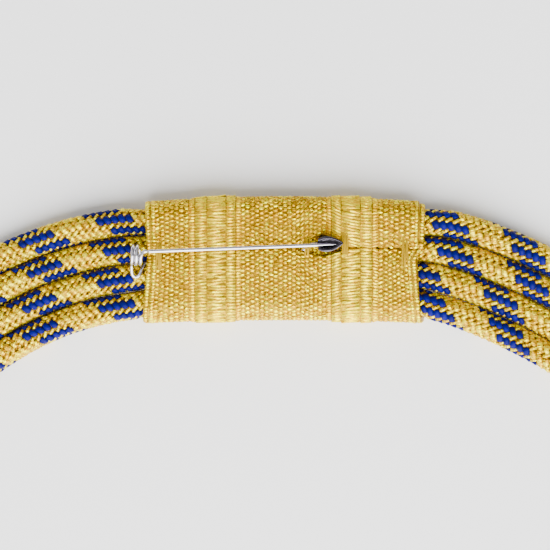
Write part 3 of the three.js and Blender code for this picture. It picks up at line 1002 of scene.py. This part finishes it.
@dataclass
class LaceBand:
    """The gold lace wound round the cords: a ground with woven knots, two bars of fine ribs and corded edges."""

    route: LoopRoute
    finishes: Finishes
    wall: float = LACE_WALL
    clearance: float = LACE_CLEARANCE
    swell: float = 0.25  # how much deeper the band's middle is than its ends
    rib_rise: float = RIB_RISE
    inner_growth: float = 0.02  # the inner skin's distance from the bore
    rounding: float = 3.0
    seam_start: float = 1.2
    seam_end: float = 2.4
    seam_gap: float = 0.05
    seam_waves: tuple = ((0.03, 1.9, 0.0), (0.02, 4.3, 1.0))  # height, radians a millimetre and phase
    pucker: tuple = (0.2, 1.7, 8)  # height, radians a millimetre and sharpness
    pucker_run: tuple = (9.0, 13.0, 20.0, 23.0)  # where the puckers begin, are full, ease off and end
    layer_step: float = 0.4  # the drop to the lace's inner turn
    layer_from: float = 0.958  # the share of the band at which it shows
    layer_clear: float = 1.0  # how far from the seam it starts
    eye_from: float = 2.5
    eye_to: float = 11.7
    eye_depths: tuple = (2.25, 1.5)  # above the seam and below it
    eye_bluntness: float = 0.85
    bar_shift: float = 0.65  # how much nearer the middle the bar beside the pin's head lies
    bar_shift_run: tuple = (0.0, 0.3, 0.7, 0.94)  # shares at which the shift begins, is full, eases off and ends
    knot_pitch_x: float = 0.85
    knot_pitch_round: float = 0.8
    rib_pitch: float = 0.56
    knot: tuple = (0.66, 1.22, 0.52)  # length, width and height
    knot_lean: float = 8.0
    knot_tones: tuple = (0.0, 0.8)
    rib: tuple = (0.6, 0.42)  # length and height
    rib_tones: tuple = (-0.1, 0.5)  # beside the run's own
    edge_lines: tuple = (-0.985, -0.945, 0.945, 0.985)  # shares of half the lace's width
    edge_pitch: float = 0.62
    edge_stitch: tuple = (0.8, 1.0, 0.5)
    edge_lean: float = 12.0
    edge_tones: tuple = (0.5, 1.1)
    under_knot: tuple = (0.72, 1.0, 0.5)
    under_tones: tuple = (0.1, 0.8)
    under_pitch: tuple = (0.72, 0.6)
    under_margins: tuple = (1.5, 2.5)  # how far the inner turn goes on past each end of the eye
    under_across: tuple = (-3.6, 4.6)
    under_sink: float = 0.3
    flap_share: float = 0.17  # how much of the way round the upper flap takes, which gets painted shade
    painted_flap_shade: float = 0.26  # how much darker its stitches are made, as painted shade
    # painted shade along the seam: how much darker, and how far from the seam it reaches
    painted_seam_shade: float = 0.3
    painted_seam_shade_reach: float = 1.5
    # a dent in one bar: place along the band, way round from the lower edge, reach both ways and depth
    dent: tuple = (-14.0, 4.9, 0.8, 1.0, 0.4)
    lift: float = 0.38
    lift_ends: float = 3.0
    sunk: float = 0.12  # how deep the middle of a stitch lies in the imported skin
    ground_sink: float = 0.16
    ground_steps: int = 181
    even_steps: int = 150  # stations along the band
    # share of half the lace's width, and how far both skins stand out there, as a share of rib_rise
    relief: tuple = (
        (0.3, 0.0),
        (0.335, -0.5),
        (0.365, 1.0),
        (0.64, 1.0),
        (0.675, -0.5),
        (0.71, 0.0),
        (0.935, 0.0),
        (0.955, 0.5),
        (1.0, -0.3),
    )
    # share of the way across from the middle, and how far out the lace's left and right ends are there, as a share
    # of half its width
    ends: tuple = (
        (-1.0, 0.022, -0.03),
        (-0.5, 0.004, -0.05),
        (0.05, -0.012, -0.07),
        (0.25, -0.008, -0.012),
        (1.0, 0.004, 0.0),
    )
    # distance from the seam, and how deep the skin sinks, as a share of the wall
    dip: tuple = ((-3.2, 0.0), (-0.9, 0.25), (0.0, 0.6), (0.9, 0.25), (3.2, 0.0))
    across_steps: int = 220
    upper_steps: int = 14  # places on one section, from the seam to the outer corner
    flat_steps: int = 16  # on the rest of its upper side, and on its lower side
    corner_steps: int = 9
    end_zone: float = 0.7  # the share of the band from which its ends go in and out
    knot_zones: tuple = ((-0.935, -0.69), (-0.32, 0.32), (0.69, 0.935))
    seed: int = 7
    # from, to and how bright the ribs are there; the runs in the grooves beside each bar are darker, as painted shade
    rib_runs: tuple = (
        (0.318, 0.354, -0.1),
        (0.362, 0.421, 0.7),
        (0.427, 0.559, 0.7),
        (0.565, 0.64, 0.7),
        (0.648, 0.69, -0.1),
    )

    def __post_init__(self) -> None:
        """Works out the bore that holds the cords, and the skins to place everything on the band by."""
        flat_radius = self.route.squeezed_diameter / 2 * self.route.flat_share
        self.bore_height = flat_radius + self.clearance
        self.bore_depth = OUTERMOST * self.route.pitch_band + self.bore_height
        edge = (self.layer_from - 0.0005, self.layer_from + 0.0005)
        even = np.linspace(-1, 1, self.even_steps)
        self.stations = np.unique(np.concatenate([even, [r[0] for r in self.relief], edge]))
        self.outer, self.inner = (
            np.array([self.ring(float(s), growth) for s in self.stations]) for growth in (self.wall, self.inner_growth)
        )
        middle = self.outer[len(self.stations) // 2]
        self.girth = float(np.linalg.norm(np.diff(middle, axis=0), axis=1).sum())

    def seam(self, x: np.ndarray | float) -> np.ndarray | float:
        """The seam's place across the band."""
        half = self.route.lace_half
        return self.seam_start + (self.seam_end - self.seam_start) * (x + half) / (2 * half)

    def ring(self, share: float, growth: float) -> np.ndarray:
        """One section of the band's skin, from the seam over the outer edge and back to the seam from below.

        Args:
            share: Place along the band, as a share of half the lace's width.
            growth: The skin's distance from the bore.

        Returns:
            Places evenly spaced round the section, without the band's bend.
        """
        half = self.route.lace_half
        x = share * half
        seam = self.seam(x)
        depth = self.bore_depth + self.swell * (1 - share * share) + growth
        height = self.bore_height + growth
        rounding = min(self.rounding - self.wall, self.bore_height) + growth
        flat, tall = depth - rounding, height - rounding

        def top(steps: np.ndarray) -> list[tuple[float, float, float, float]]:
            """Places at distances from the seam, sunk along it, each with the way out of the skin."""
            sunk = np.interp(steps, *np.array(self.dip).T) * self.wall
            return [(seam + step, height - low, 0.0, 1.0) for step, low in zip(steps, sunk)]

        points = top(np.linspace(0, flat - seam, self.upper_steps)[:-1])
        for sign_across, sign_up, first in ((1, 1, 90), (1, -1, 0), (-1, -1, -90), (-1, 1, -180)):
            if (sign_across, sign_up) == (-1, -1):
                points += [(t * flat, -height, 0.0, -1.0) for t in np.linspace(1, -1, self.flat_steps)[1:-1]]
            for angle in np.radians(np.linspace(first, first - 90, self.corner_steps)):
                c, s = math.cos(angle), math.sin(angle)
                points.append((sign_across * flat + rounding * c, sign_up * tall + rounding * s, c, s))
        points += top(np.linspace(-flat - seam, 0, self.flat_steps)[1:])
        table = np.array(points)
        rise = float(np.interp(abs(share), *np.array(self.relief).T)) * self.rib_rise
        stepped = (share > self.layer_from) & (table[:, 0] > seam + self.layer_clear)
        lifted = rise - np.where(stepped, self.layer_step, 0.0)
        ends = np.array(self.ends)
        gain = np.interp(table[:, 0] / depth, ends[:, 0], ends[:, 1 if share < 0 else 2]) * half
        near = eased(abs(share), self.end_zone, 1.0)
        pinned = eased(table[:, 1], -self.bore_height, self.bore_height)
        bend = self.route.across(x)
        x -= self.bar_shift * float(np.interp(share, self.bar_shift_run, (0.0, 1.0, 1.0, 0.0)))
        places = np.column_stack(
            [
                x + np.sign(share) * gain * near * pinned + self.route.shift[0],
                bend + table[:, 0] + table[:, 2] * lifted,
                self.route.band_height + table[:, 1] + table[:, 3] * lifted,
            ]
        )
        run = np.concatenate([[0.0], np.cumsum(np.linalg.norm(np.diff(table[:, :2], axis=0), axis=1))])
        even = np.linspace(0, run[-1], self.across_steps + 1)
        return np.column_stack([np.interp(even, run, places[:, k]) for k in range(3)])

    def edges(self, x: np.ndarray) -> tuple[np.ndarray, np.ndarray]:
        """How far the lace's edges stand back from the seam, most round the pin's head.

        Args:
            x: Places along the band.

        Returns:
            The upper edge's distance and the lower edge's.
        """
        wave = self.seam_gap + sum(high * np.sin(x * rate + start) for high, rate, start in self.seam_waves)
        height, rate, power = self.pucker
        wave = wave + height * np.interp(x, self.pucker_run, (0.0, 1.0, 1.0, 0.0)) * np.sin(x * rate) ** power
        share = np.clip((x - self.eye_from) / (self.eye_to - self.eye_from), 0, 1)
        eye = np.sin(math.pi * share) ** self.eye_bluntness
        upper, lower = self.eye_depths
        return wave + upper * eye, wave + lower * eye

    def on_skin(self, flat: np.ndarray, skin: np.ndarray | None = None) -> np.ndarray:
        """Places on the band of places on the flat lace.

        Args:
            flat: Columns are X along the band, share of the way round from one edge to the other, and height.
            skin: The skin's grid, or nothing for the outer one.

        Returns:
            The places in millimetres.
        """
        grid = self.outer if skin is None else skin
        half = self.route.lace_half
        share = np.clip(flat[:, 0] / half, -1, 1)
        upper, lower = self.edges(flat[:, 0])
        start, end = upper / self.girth, 1 - lower / self.girth
        turn = (start + (end - start) * np.clip(flat[:, 1], 0, 1)) * self.across_steps
        row = np.interp(share, self.stations, np.arange(len(self.stations)))
        r0 = np.clip(np.floor(row).astype(int), 0, len(self.stations) - 2)
        c0 = np.clip(np.floor(turn).astype(int), 0, self.across_steps - 1)
        fr, fc = (row - r0)[:, None], (turn - c0)[:, None]
        a, b = grid[r0, c0], grid[r0, c0 + 1]
        c, d = grid[r0 + 1, c0], grid[r0 + 1, c0 + 1]
        place = (a * (1 - fc) + b * fc) * (1 - fr) + (c * (1 - fc) + d * fc) * fr
        normal = np.cross(c + d - a - b, b + d - a - c)
        normal /= np.linalg.norm(normal, axis=1)[:, None]
        over = (flat[:, 0] - np.clip(flat[:, 0], -half, half))[:, None] * np.array([[1.0, 0.0, 0.0]])
        x, y, reach_x, reach_y, depth = self.dent
        away = ((flat[:, 0] - x) / reach_x) ** 2 + (((1 - flat[:, 1]) * self.girth - y) / reach_y) ** 2
        dented = depth * np.exp(-away) * (skin is None)
        return place - normal * (flat[:, 2] + dented)[:, None] + over

    def laid_on(self, flat: np.ndarray) -> np.ndarray:
        """Lays the flat weave round the band.

        Args:
            flat: Places on the flat lace in millimetres.

        Returns:
            The places in metres.
        """
        share = np.column_stack([flat[:, 0], flat[:, 1] / self.girth, flat[:, 2] - self.sunk])
        return self.resting(self.on_skin(share)) * MM

    def resting(self, places: np.ndarray) -> np.ndarray:
        """Lets the band rest on its threads: the underside is lifted by what they stand out, and less further up.

        Args:
            places: Places on the band in millimetres.

        Returns:
            The lifted places.
        """
        lifted = places.copy()
        lifted[:, 2] += self.lift * (1 - eased(places[:, 2], 0.0, self.lift_ends))
        return above_table(lifted)

    def ground(self) -> Mesh:
        """The cloth itself, as a closed sheet with the wall's thickness.

        Returns:
            The mesh in metres.
        """
        xs = self.stations * self.route.lace_half
        vs = np.linspace(0, 1, self.ground_steps)
        flat = np.array([(x, v, -self.ground_sink) for x in xs for v in vs])
        outer = self.resting(self.on_skin(flat)).reshape(len(xs), len(vs), 3)
        flat[:, 2] = 0.0
        inner = self.resting(self.on_skin(flat, self.inner)).reshape(len(xs), len(vs), 3)
        rings = np.concatenate([outer, inner[:, ::-1]], axis=1)
        return grid_mesh("lace_ground", rings * MM)

    def under_layer(self, rng: np.random.Generator) -> Mesh:
        """The lace's inner turn, which shows in the eye round the pin's head.

        Args:
            rng: Gives each knot its tone.

        Returns:
            The mesh in metres.
        """
        places = []
        height = self.route.band_height + self.bore_height - self.under_sink
        before, after = self.under_margins
        pitch_x, pitch_y = self.under_pitch
        for i, x in enumerate(np.arange(self.eye_from - before, self.eye_to + after, pitch_x)):
            for y in np.arange(*self.under_across, pitch_y):
                places.append((x, self.seam(float(x)) + y + pitch_y / 2 * (i % 2), 0.0))
        knots = StitchField("under_knots", *self.under_knot, self.knot_lean, fullness=0.6, uneven=0.08, seed=9)
        tones = rng.uniform(*self.under_tones, len(places))
        flat = knots.build(np.array(places), tones, self.finishes.lace_yarn)

        def laid(points: np.ndarray) -> np.ndarray:
            """Lays the flat knots over the cords.

            Args:
                points: Places on the flat lace in millimetres.

            Returns:
                Places over the cords in metres.
            """
            bend = self.route.middle_line(np.abs(points[:, 0]), 1)[0][:, 1]
            x = points[:, 0] + self.route.shift[0]
            return np.column_stack([x, bend + points[:, 1], height + points[:, 2]]) * MM

        move_points(flat, laid)
        return flat

    def lines_round(self, lines: Sequence[float], pitch: float) -> np.ndarray:
        """Lays out stitches on lines that go round the band.

        Args:
            lines: Where the lines are, as shares of half the lace's width.
            pitch: The distance from stitch to stitch.

        Returns:
            The flat places, one row each.
        """
        turns = int(self.girth / pitch)
        half = self.route.lace_half
        return np.array([(line * half, (r + 0.5) / turns * self.girth, 0.0) for line in lines for r in range(turns)])

    def build(self) -> tuple[Object, Object]:
        """Makes the ground and the knots, ribs and corded edges on it.

        Returns:
            The ground and the weave.
        """
        half = self.route.lace_half
        rng = np.random.default_rng(self.seed)
        rounds = int(self.girth / self.knot_pitch_round)
        knots: dict[int, list] = {-1: [], 1: []}
        for low, high in self.knot_zones:
            count = max(2, round((high - low) * half / self.knot_pitch_x))
            for k in range(count):
                x = (low + (high - low) * (k + 0.5) / count) * half
                for r in range(rounds):
                    slant = 1 if (r + k // 2) % 2 else -1
                    knots[slant].append((x, (r + 0.25 + 0.5 * (k % 2)) / rounds * self.girth, 0.0))
        yarn = self.finishes.lace_yarn
        fields: list[tuple[StitchField, np.ndarray, tuple[float, float]]] = []
        for slant, rows in knots.items():
            lean = self.knot_lean * slant
            knot = StitchField(f"lace_knots_{slant}", *self.knot, lean, fullness=0.1, uneven=0.08)
            fields.append((knot, np.array(rows), self.knot_tones))
        long, high = self.rib
        dull, bright = self.rib_tones
        for i, (a, b, light) in enumerate(self.rib_runs):
            rib = StitchField(f"lace_ribs_{i}", long, (b - a) * half, high, 0.0, shape=BeadShape.SLAB, uneven=0.02)
            places = self.lines_round([sign * (a + b) / 2 for sign in (-1, 1)], self.rib_pitch)
            fields.append((rib, places, (light + dull, light + bright)))
        edge = StitchField("lace_edge_cord", *self.edge_stitch, self.edge_lean, fullness=0.4)
        fields.append((edge, self.lines_round(self.edge_lines, self.edge_pitch), self.edge_tones))
        meshes, materials = [self.under_layer(rng)], [yarn]
        for stitches, places, reach in fields:
            # painted shade: stitches on the upper flap and near the seam are made darker
            from_seam = places[:, 1] / self.painted_seam_shade_reach
            on_flap = places[:, 1] < self.flap_share * self.girth
            shade = self.painted_flap_shade * on_flap + self.painted_seam_shade * np.exp(-from_seam**2)
            tones = rng.uniform(*reach, len(places)) - shade
            own = self.finishes.bar_yarn if stitches.shape is BeadShape.SLAB else yarn
            flat = stitches.build(places, tones, own)
            move_points(flat, self.laid_on)
            meshes.append(flat)
            materials.append(own)
        weave = make_piece("lace_weave", meshes, materials)
        ground = make_piece("lace_ground", [self.ground()], [self.finishes.lace_ground])
        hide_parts("lace_band")
        return ground, weave


@dataclass
class ThreadTacks:
    """Four tacks of doubled sewing thread across the seam."""

    band: LaceBand
    finishes: Finishes
    thread: float = 0.32
    closeness: float = 0.95  # the pitch of the strands, as a share of the thread
    arch: tuple = (0.56, 0.25)  # how high a strand arches, and how deep its ends lie
    ragged: tuple = (0.25, 0.3)  # how far the upper and the lower ends stray
    lean: float = 0.18
    strand_steps: int = 15
    strand_sides: int = 8
    seed: int = 23
    # place along the band, width, reach above the seam and reach below it
    tacks: tuple = (
        (-23.2, 1.1, 2.8, 3.2),
        (4.0, 0.95, 2.4, 1.7),
        (10.9, 1.2, 3.0, 1.8),
        (21.9, 1.3, 2.0, 4.0),
    )

    def strand(self, x: float, top: float, bottom: float, lean: float) -> Mesh:
        """Makes one strand as a tube that dips into the lace at both ends.

        Args:
            x: Its place along the band.
            top: How far it reaches above the seam.
            bottom: How far it reaches below it.
            lean: How far each end strays along the band.

        Returns:
            The mesh in metres.
        """
        band, route = self.band, self.band.route
        share = np.linspace(0, 1, self.strand_steps)
        high, deep = self.arch
        arch = np.sin(math.pi * share) ** 0.5 * high - deep
        rise = float(np.interp(abs(x) / route.lace_half, *np.array(band.relief).T)) * band.rib_rise
        skin = route.band_height + band.bore_height + band.wall
        along = x + lean * (share - 0.5) * 2 + route.shift[0]
        across = route.across(x) + band.seam(x) + (top - (top + bottom) * share)
        path = np.column_stack([along, across, skin + rise + arch])
        return grid_mesh("strand", tube_rings(path, np.full(len(path), self.thread / 2), self.strand_sides) * MM)

    def build(self) -> Object:
        """Makes every tack.

        Returns:
            The finished piece.
        """
        meshes = []
        rng = np.random.default_rng(self.seed)
        for place, width, above, below in self.tacks:
            count = max(3, round(width / (self.thread * self.closeness)))
            for k in range(count):
                x = place + width * ((k + 0.5) / count - 0.5)
                top, bottom = (
                    reach + rng.uniform(-stray, stray) for reach, stray in zip((above, below), self.ragged)
                )
                meshes.append(self.strand(x, top, bottom, rng.uniform(-self.lean, self.lean)))
        piece = make_piece("thread_tacks", meshes, [self.finishes.tack_thread] * len(meshes))
        return piece


@dataclass
class SafetyPin:
    """The pin's wire, head and arm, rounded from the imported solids. Lengths are millimetres."""

    finishes: Finishes
    levels: int = 2  # of subdivision
    swell: float = 0.03  # what the rounding takes off the wire's radius
    arm_stretch: float = 0.32  # how far the arm is drawn out to the coil
    arm_start: float = 0.2  # how much of the arm is drawn out
    weld: float = 0.001
    edge_radius: float = 0.08
    edge_segments: int = 3
    sharp_angle: float = 50.0  # degrees

    def packed(self, node: str) -> bmesh.types.BMesh:
        """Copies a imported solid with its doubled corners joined.

        Args:
            node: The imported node.

        Returns:
            The copy.
        """
        work = bmesh.new()
        work.from_mesh(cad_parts[node].data)
        bmesh.ops.remove_doubles(work, verts=work.verts, dist=self.weld * MM)
        return work

    @staticmethod
    def meshed(work: bmesh.types.BMesh, name: str) -> Mesh:
        """Turns the working copy into a mesh and frees it.

        Args:
            work: The working copy.
            name: The mesh's name.

        Returns:
            The mesh.
        """
        mesh = bpy.data.meshes.new(name)
        work.to_mesh(mesh)
        work.free()
        return mesh

    def rounded(self, node: str, body: str, stretch: float = 0.0) -> Object:
        """A smooth copy of a wire node.

        Args:
            node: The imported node.
            body: The body it moves with.
            stretch: How far the end at the coil is drawn out towards it.

        Returns:
            The finished piece.
        """
        work = self.packed(node)
        bmesh.ops.dissolve_degenerate(work, edges=work.edges, dist=1e-7)
        lowest = min(v.co.x for v in work.verts)
        for vertex in work.verts:
            if vertex.co.x < lowest + self.arm_start * MM:
                vertex.co.x -= stretch * MM
        bmesh.ops.join_triangles(work, faces=work.faces, angle_face_threshold=0.6, angle_shape_threshold=0.9)
        mesh = self.meshed(work, node + "_smooth")
        result = with_modifier(mesh, "SUBSURF", levels=self.levels, render_levels=self.levels)
        normals = np.empty(len(result.vertices) * 3)
        result.vertices.foreach_get("normal", normals)

        def swollen(places: np.ndarray) -> np.ndarray:
            """Gives the wire back the thickness that the rounding took off."""
            return places + normals.reshape(-1, 3) * self.swell * MM

        move_points(result, swollen)
        piece = make_piece(node.replace("pin_", "nickel_"), [result], [self.finishes.nickel], body)
        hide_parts(node)
        return piece

    def head(self) -> Object:
        """The head with rolled edges.

        Returns:
            The finished piece.
        """
        work = self.packed("pin_cap")
        bmesh.ops.dissolve_limit(work, angle_limit=0.02, verts=work.verts, edges=work.edges)
        result = with_modifier(
            self.meshed(work, "pin_head"),
            "BEVEL",
            width=self.edge_radius * MM,
            segments=self.edge_segments,
            limit_method="ANGLE",
            angle_limit=math.radians(self.sharp_angle),
        )
        # the head gets the darkened plate, a painted dark reflection
        piece = make_piece("nickel_head", [result], [self.finishes.head_nickel_painted_dark])
        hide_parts("pin_cap")
        return piece

    def build(self) -> list[Object]:
        """Makes the three parts.

        Returns:
            The finished pieces.
        """
        return [
            self.rounded("pin_spring", BODY),
            self.head(),
            self.rounded("pin_arm", ARM_BODY, stretch=self.arm_stretch),
        ]


@dataclass
class Studio:
    """A plain white table under soft light, seen from straight above as in the photograph. Lights are in metres."""

    view_width: float = 101.3  # mm across the picture
    distance: float = 620.0  # mm
    aim: tuple = (-1.9, -3.1)  # mm from the band's middle
    sensor: float = 36.0
    clip: tuple = (0.01, 20.0)  # m
    floor_size: float = 6.0
    world_strength: float = 0.35
    target: tuple = (0.0, 0.11, 0.0)
    # name, place from the target, size and power in watts
    lights: tuple = (("key_light", (0.12, -0.74, 0.64), 1.4, 60.0), ("fill_light", (-0.5, 0.3, 0.85), 1.3, 4.0))

    def build(self, route: LoopRoute) -> None:
        """Makes the floor, the lights and the camera.

        Args:
            route: Tells where the middle of the band lies.
        """
        bpy.ops.mesh.primitive_plane_add(size=self.floor_size, location=(0, 0, 0))
        floor = bpy.context.object
        floor.name = "white_table"
        material, tree, shader = empty_material("white_table_card", "#fafafa")
        fill_inputs(tree, shader, {"Base Color": srgb("#f8f8f8"), "Roughness": 0.9})
        floor.data.materials.append(material)
        world = bpy.data.worlds.new("soft_studio")
        bpy.context.scene.world = world
        world.use_nodes = True
        sky = {"Color": (1.0, 1.0, 1.0, 1.0), "Strength": self.world_strength}
        fill_inputs(world.node_tree, world.node_tree.nodes["Background"], sky)
        for name, place, size, power in self.lights:
            data = bpy.data.lights.new(name, "AREA")
            data.energy, data.size = power, size
            lamp = placed(name, data)
            lamp.location = Vector(place) + Vector(self.target)
            lamp.rotation_euler = (Vector(self.target) - lamp.location).to_track_quat("-Z", "Y").to_euler()
        data = bpy.data.cameras.new("camera")
        data.sensor_width = self.sensor
        data.lens = self.sensor / 2 / (self.view_width / 2 / self.distance)
        data.clip_start, data.clip_end = self.clip
        camera = placed("camera", data)
        centre = np.array(self.aim) + route.shift
        camera.location = (centre[0] * MM, centre[1] * MM, (self.distance + route.band_height) * MM)
        bpy.context.scene.camera = camera


FLECKS = {
    "cord_loop_4": FleckPhase(right=(30.5, 5.2, 12.0), left=(-31.7, 7.8, -18.0)),
    "cord_loop_3": FleckPhase(right=(31.3, 0.4, 5.0), left=(-30.1, 2.4, -5.0)),
    "cord_loop_2": FleckPhase(right=(25.1, -3.1, -6.0), left=(-31.2, -3.6, 5.0)),
    "cord_loop_1": FleckPhase(right=(25.9, -8.3, -28.0), left=(-30.9, -8.0, -12.0)),
}


def main() -> None:
    """Builds the pieces in order."""
    logging.basicConfig(level=logging.INFO, format="%(message)s")
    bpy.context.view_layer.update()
    finishes = Finishes.build()
    route = LoopRoute()
    log.info("band middle at %s mm", route.shift.round(3).tolist())
    pieces = [
        BraidedCord(route, finishes, node, OUTERMOST - i, phase).build()
        for i, (node, phase) in enumerate(FLECKS.items())
    ]
    band = LaceBand(route, finishes)
    pieces += [*band.build(), ThreadTacks(band, finishes).build(), *SafetyPin(finishes).build()]
    for piece in pieces:
        log.info("%s: %d faces", piece.name, len(piece.data.polygons))
    Studio().build(route)


if __name__ == "__main__":
    main()
